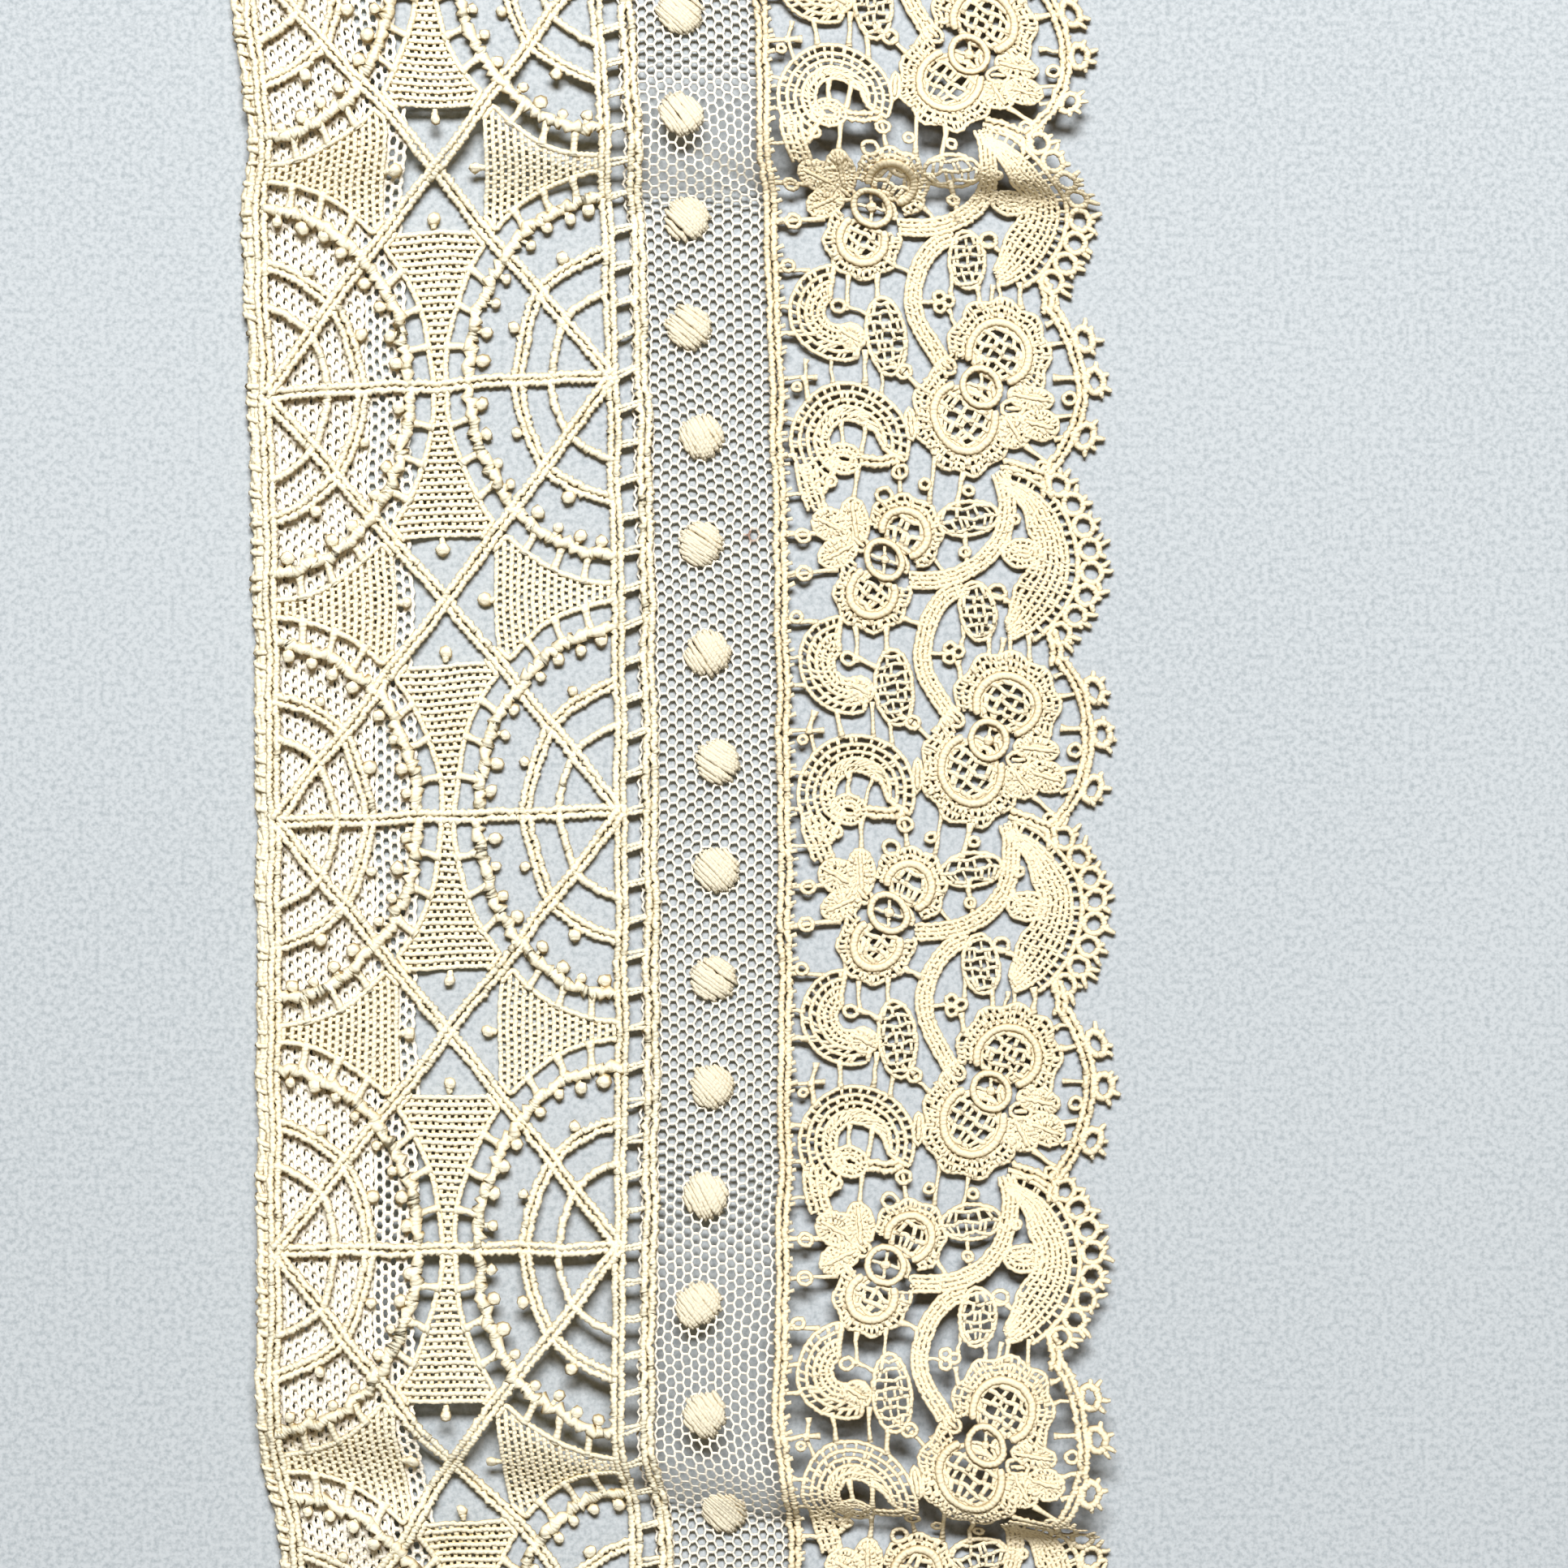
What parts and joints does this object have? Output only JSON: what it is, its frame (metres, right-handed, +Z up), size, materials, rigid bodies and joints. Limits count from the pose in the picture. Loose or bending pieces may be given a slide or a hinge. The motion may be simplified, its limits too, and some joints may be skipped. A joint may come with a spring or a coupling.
{
  "type": "lace border",
  "caption": "Length of embroidered cotton lace border: openwork insertion over folded net, a band of dotted net and a scalloped needle-lace edging, lying in low folds.",
  "frame": {"origin": "middle of the border's footprint, on the surface it lies on", "axes": "+X across the border from the hemmed side to the scalloped side, +Y along its length, +Z up"},
  "size_m": [0.1096, 0.214, 0.0071],
  "materials": {
    "ecru_lace": "ecru cotton thread, matt with a slight lustre",
    "pale_net": "off-white cotton net, matt"
  },
  "bodies": {
    "root": {"insertion": "ecru_lace", "net_backing": "pale_net", "net_band": "pale_net", "edging": "ecru_lace"}
  },
  "joints": []
}
